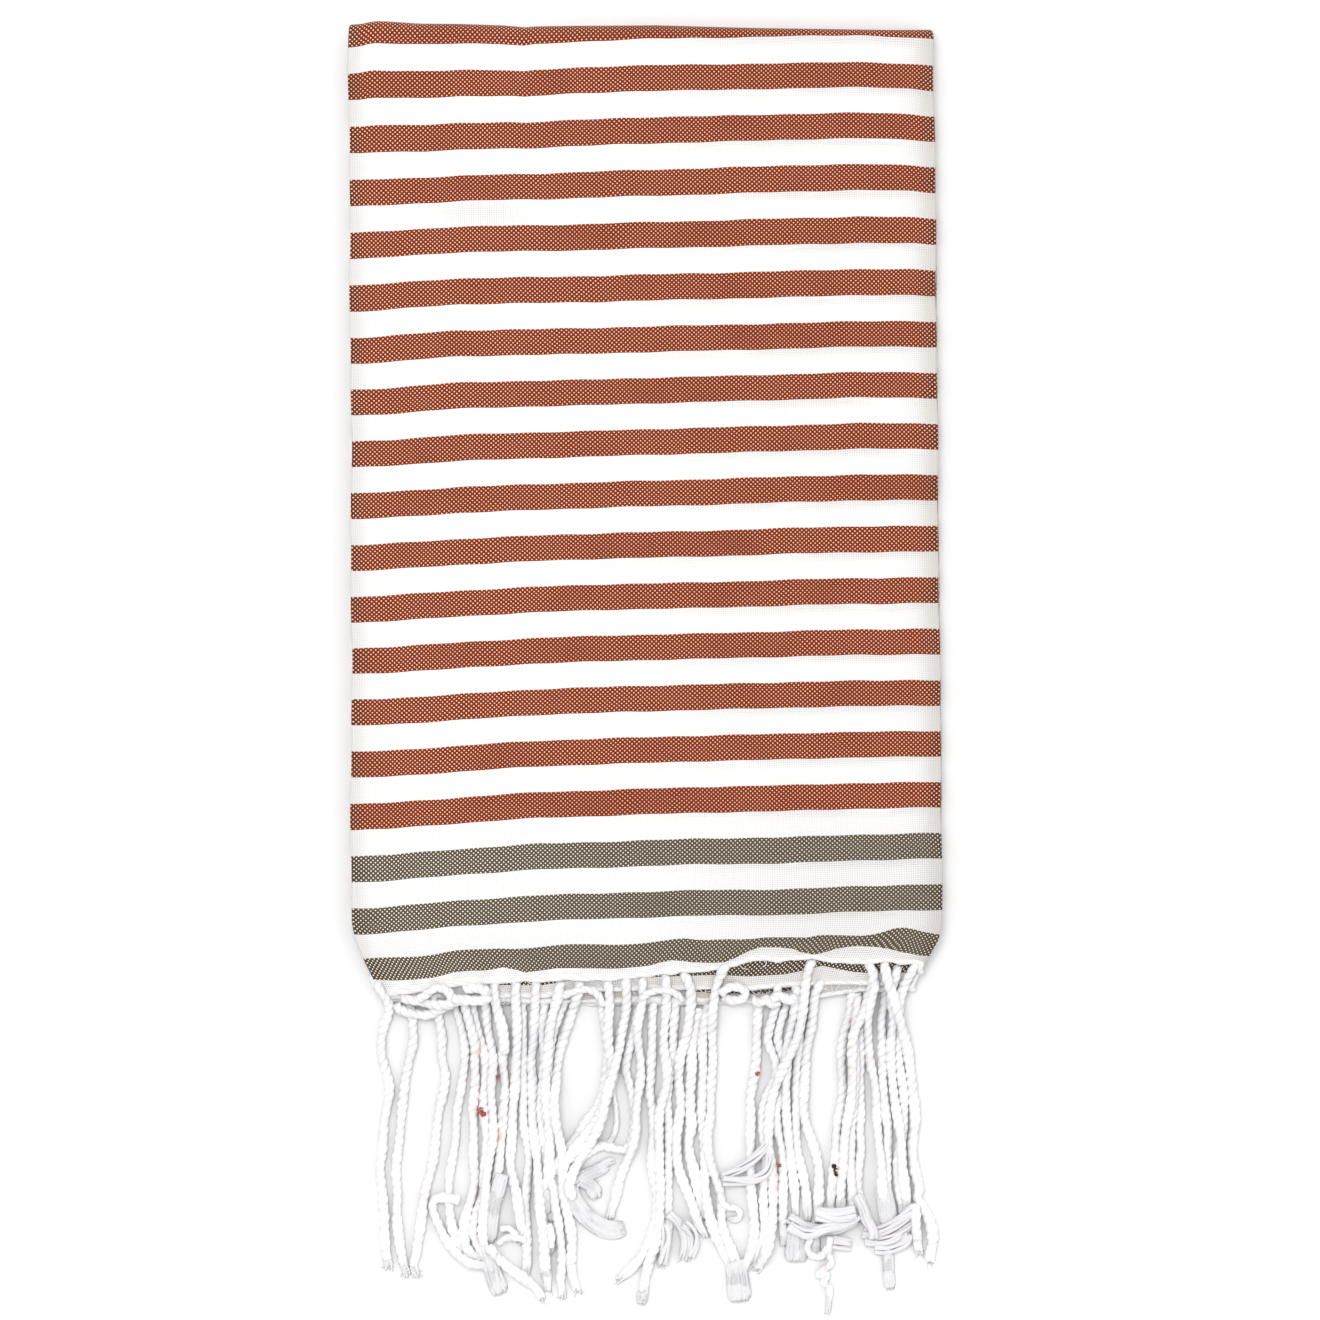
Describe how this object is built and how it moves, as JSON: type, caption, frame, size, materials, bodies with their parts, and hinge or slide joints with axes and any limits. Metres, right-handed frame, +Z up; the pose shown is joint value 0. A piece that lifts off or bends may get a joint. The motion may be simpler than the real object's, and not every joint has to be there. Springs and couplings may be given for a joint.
{
  "type": "hammam towel",
  "caption": "Flat-woven cotton towel with rust and taupe stripes, folded into a long flat pack with both corded fringes at one end.",
  "frame": {"origin": "under the middle of the whole towel, fringes included, on the surface that it lies on", "axes": "+Z up out of the surface; +Y along the folded pack, towards its folded end and away from the fringes; +X across the pack, to the right as seen from above with the fringes nearest"},
  "size_m": [0.3194, 0.6914, 0.0179],
  "materials": {
    "woven_cotton": "plain-woven matte cotton, white with rust-orange and taupe weft stripes",
    "cotton_cord": "soft twisted white cotton cord"
  },
  "bodies": {
    "root": {"towel_cloth": "woven_cotton", "front_fringe": "cotton_cord", "back_fringe": "cotton_cord"}
  },
  "joints": []
}
